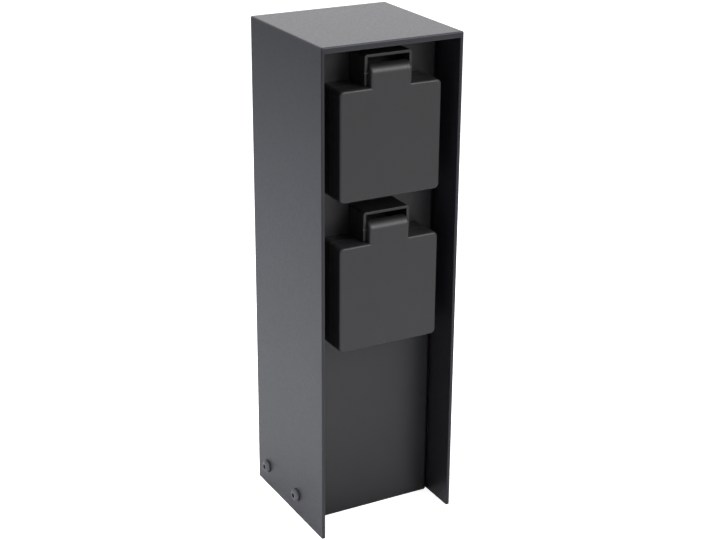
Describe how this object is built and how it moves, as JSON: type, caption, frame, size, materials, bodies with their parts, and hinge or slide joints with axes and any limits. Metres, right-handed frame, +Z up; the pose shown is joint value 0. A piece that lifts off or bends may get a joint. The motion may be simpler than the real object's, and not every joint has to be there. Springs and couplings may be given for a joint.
{
  "type": "garden socket post",
  "caption": "Free-standing sheet steel post for gardens, with flange sockets behind sprung square lids, set back between its side plates",
  "frame": {"origin": "centre of the post's footprint, on the ground", "axes": "+Z up, the sockets face -Y, +X to their right seen from the front"},
  "size_m": [0.1094, 0.104, 0.35],
  "materials": {
    "hood_paint": "powder coated, fine texture",
    "chassis_paint": "powder coated, fine texture",
    "zinc_steel": "zinc plated",
    "blackened_screw": "blackened",
    "rubber": "moulded",
    "grey_plastic": "moulded, matt",
    "tinned_copper": "tinned",
    "earth_insulation": "extruded",
    "block_plastic": "moulded",
    "brass": "drawn",
    "lead_sheath": "extruded, matt",
    "socket_plastic": "moulded, matt",
    "insert_plastic": "moulded, matt",
    "lid_plastic": "moulded, fine spark texture",
    "spring_steel": "drawn",
    "pin_steel": "ground"
  },
  "bodies": {
    "post": {"base_screws": "blackened_screw", "base_weld_nuts": "zinc_steel", "cable_grommet": "rubber", "chassis": "chassis_paint", "clamp_screws": "zinc_steel", "cover_clinch_nuts": "zinc_steel", "earth_lug": "tinned_copper", "earth_wire": "earth_insulation", "gland_body": "grey_plastic", "gland_locknut": "grey_plastic", "gland_nut": "grey_plastic", "gland_seal": "rubber", "ground_plate": "zinc_steel", "hood": "hood_paint", "lead_bushings": "rubber", "lower_centre_screw": "zinc_steel", "lower_contacts": "brass", "lower_earth_clip": "spring_steel", "lower_entry_bushing": "rubber", "lower_flange_gasket": "rubber", "lower_flange_nuts": "zinc_steel", "lower_flange_screws": "zinc_steel", "lower_hinge_pin": "pin_steel", "lower_lead": "lead_sheath", "lower_lid_spring": "spring_steel", "lower_rear_housing": "socket_plastic", "lower_socket_frame": "socket_plastic", "lower_socket_insert": "insert_plastic", "lower_terminal_screws": "zinc_steel", "mounting_studs": "zinc_steel", "rear_cover": "chassis_paint", "rear_cover_screws": "blackened_screw", "stud_nuts": "zinc_steel", "terminal_block": "block_plastic", "terminal_box": "grey_plastic", "terminal_box_cover": "grey_plastic", "terminal_box_screws": "zinc_steel", "terminal_box_seal": "rubber", "terminal_clamps": "brass", "upper_centre_screw": "zinc_steel", "upper_contacts": "brass", "upper_earth_clip": "spring_steel", "upper_entry_bushing": "rubber", "upper_flange_gasket": "rubber", "upper_flange_nuts": "zinc_steel", "upper_flange_screws": "zinc_steel", "upper_hinge_pin": "pin_steel", "upper_lead": "lead_sheath", "upper_lid_spring": "spring_steel", "upper_rear_housing": "socket_plastic", "upper_socket_frame": "socket_plastic", "upper_socket_insert": "insert_plastic", "upper_terminal_screws": "zinc_steel"},
    "upper_lid": {"upper_lid": "lid_plastic", "upper_lid_gasket": "rubber"},
    "lower_lid": {"lower_lid": "lid_plastic", "lower_lid_gasket": "rubber"}
  },
  "joints": [
    {"name": "upper_lid_hinge", "type": "hinge", "parent": "post", "child": "upper_lid", "pos_m": [0, -0.0435, 0.328], "axis": [-1, 0, 0], "range_deg": [0, 120], "stiffness_Nm_per_rad": 0.015, "springref_deg": -57.3},
    {"name": "lower_lid_hinge", "type": "hinge", "parent": "post", "child": "lower_lid", "pos_m": [0, -0.0435, 0.222], "axis": [-1, 0, 0], "range_deg": [0, 120], "stiffness_Nm_per_rad": 0.015, "springref_deg": -57.3}
  ]
}
